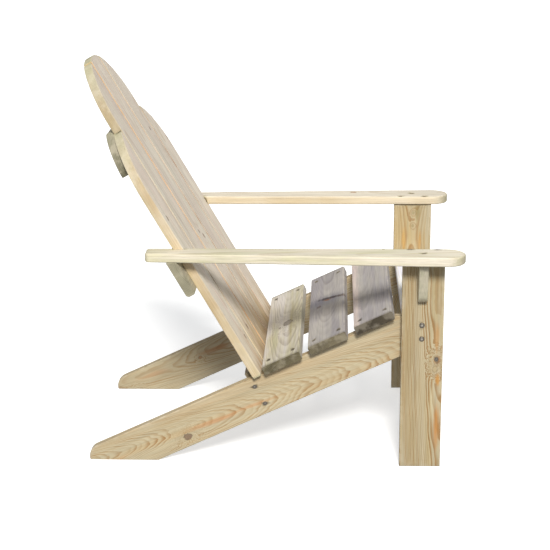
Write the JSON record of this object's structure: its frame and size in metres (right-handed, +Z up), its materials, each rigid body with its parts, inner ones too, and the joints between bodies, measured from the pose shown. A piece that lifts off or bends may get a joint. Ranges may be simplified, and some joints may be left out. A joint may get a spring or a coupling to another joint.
{
  "type": "adirondack chair",
  "caption": "Slatted wooden garden armchair with a sloping seat, a leaning back under a half-round head, flat flared arms on brackets and side rails that form the rear feet.",
  "frame": {"origin": "on the ground under the centre of the bounding box", "axes": "+Z up, the front of the chair towards -Y, the sitter's left towards +X; the chair mirrors about X = 0"},
  "size_m": [0.628, 0.8756, 0.9262],
  "materials": {
    "pale_pine": "planed, pale, lightly weathered",
    "tan_pine": "planed, tan with orange-brown grain",
    "grey_pine": "planed, grey-mauve",
    "green_pine": "planed, faint green tint",
    "steel": "dull plated"
  },
  "bodies": {
    "root": {"arm_bracket_left": "green_pine", "arm_bracket_right": "green_pine", "arm_left": "pale_pine", "arm_right": "pale_pine", "arm_screw_left_1": "steel", "arm_screw_left_2": "steel", "arm_screw_left_3": "steel", "arm_screw_right_1": "steel", "arm_screw_right_2": "steel", "arm_screw_right_3": "steel", "back_rail_lower": "tan_pine", "back_rail_middle": "green_pine", "back_rail_upper": "green_pine", "back_slat_1": "pale_pine", "back_slat_2": "pale_pine", "back_slat_3": "pale_pine", "back_slat_4": "pale_pine", "back_slat_5": "pale_pine", "front_leg_left": "tan_pine", "front_leg_right": "tan_pine", "front_rail": "tan_pine", "front_rail_screw_left": "steel", "front_rail_screw_right": "steel", "leg_bolt_left_1": "steel", "leg_bolt_left_2": "steel", "leg_bolt_right_1": "steel", "leg_bolt_right_2": "steel", "leg_nut_left_1": "steel", "leg_nut_left_2": "steel", "leg_nut_right_1": "steel", "leg_nut_right_2": "steel", "lower_rail_screw_left_1": "steel", "lower_rail_screw_left_2": "steel", "lower_rail_screw_right_1": "steel", "lower_rail_screw_right_2": "steel", "seat_screw_1_left_1": "steel", "seat_screw_1_left_2": "steel", "seat_screw_1_right_1": "steel", "seat_screw_1_right_2": "steel", "seat_screw_2_left_1": "steel", "seat_screw_2_left_2": "steel", "seat_screw_2_right_1": "steel", "seat_screw_2_right_2": "steel", "seat_screw_3_left_1": "steel", "seat_screw_3_left_2": "steel", "seat_screw_3_right_1": "steel", "seat_screw_3_right_2": "steel", "seat_screw_4_left_1": "steel", "seat_screw_4_left_2": "steel", "seat_screw_4_right_1": "steel", "seat_screw_4_right_2": "steel", "seat_slat_1": "pale_pine", "seat_slat_2": "grey_pine", "seat_slat_3": "grey_pine", "seat_slat_4": "grey_pine", "stringer_left": "tan_pine", "stringer_right": "tan_pine"}
  },
  "joints": []
}
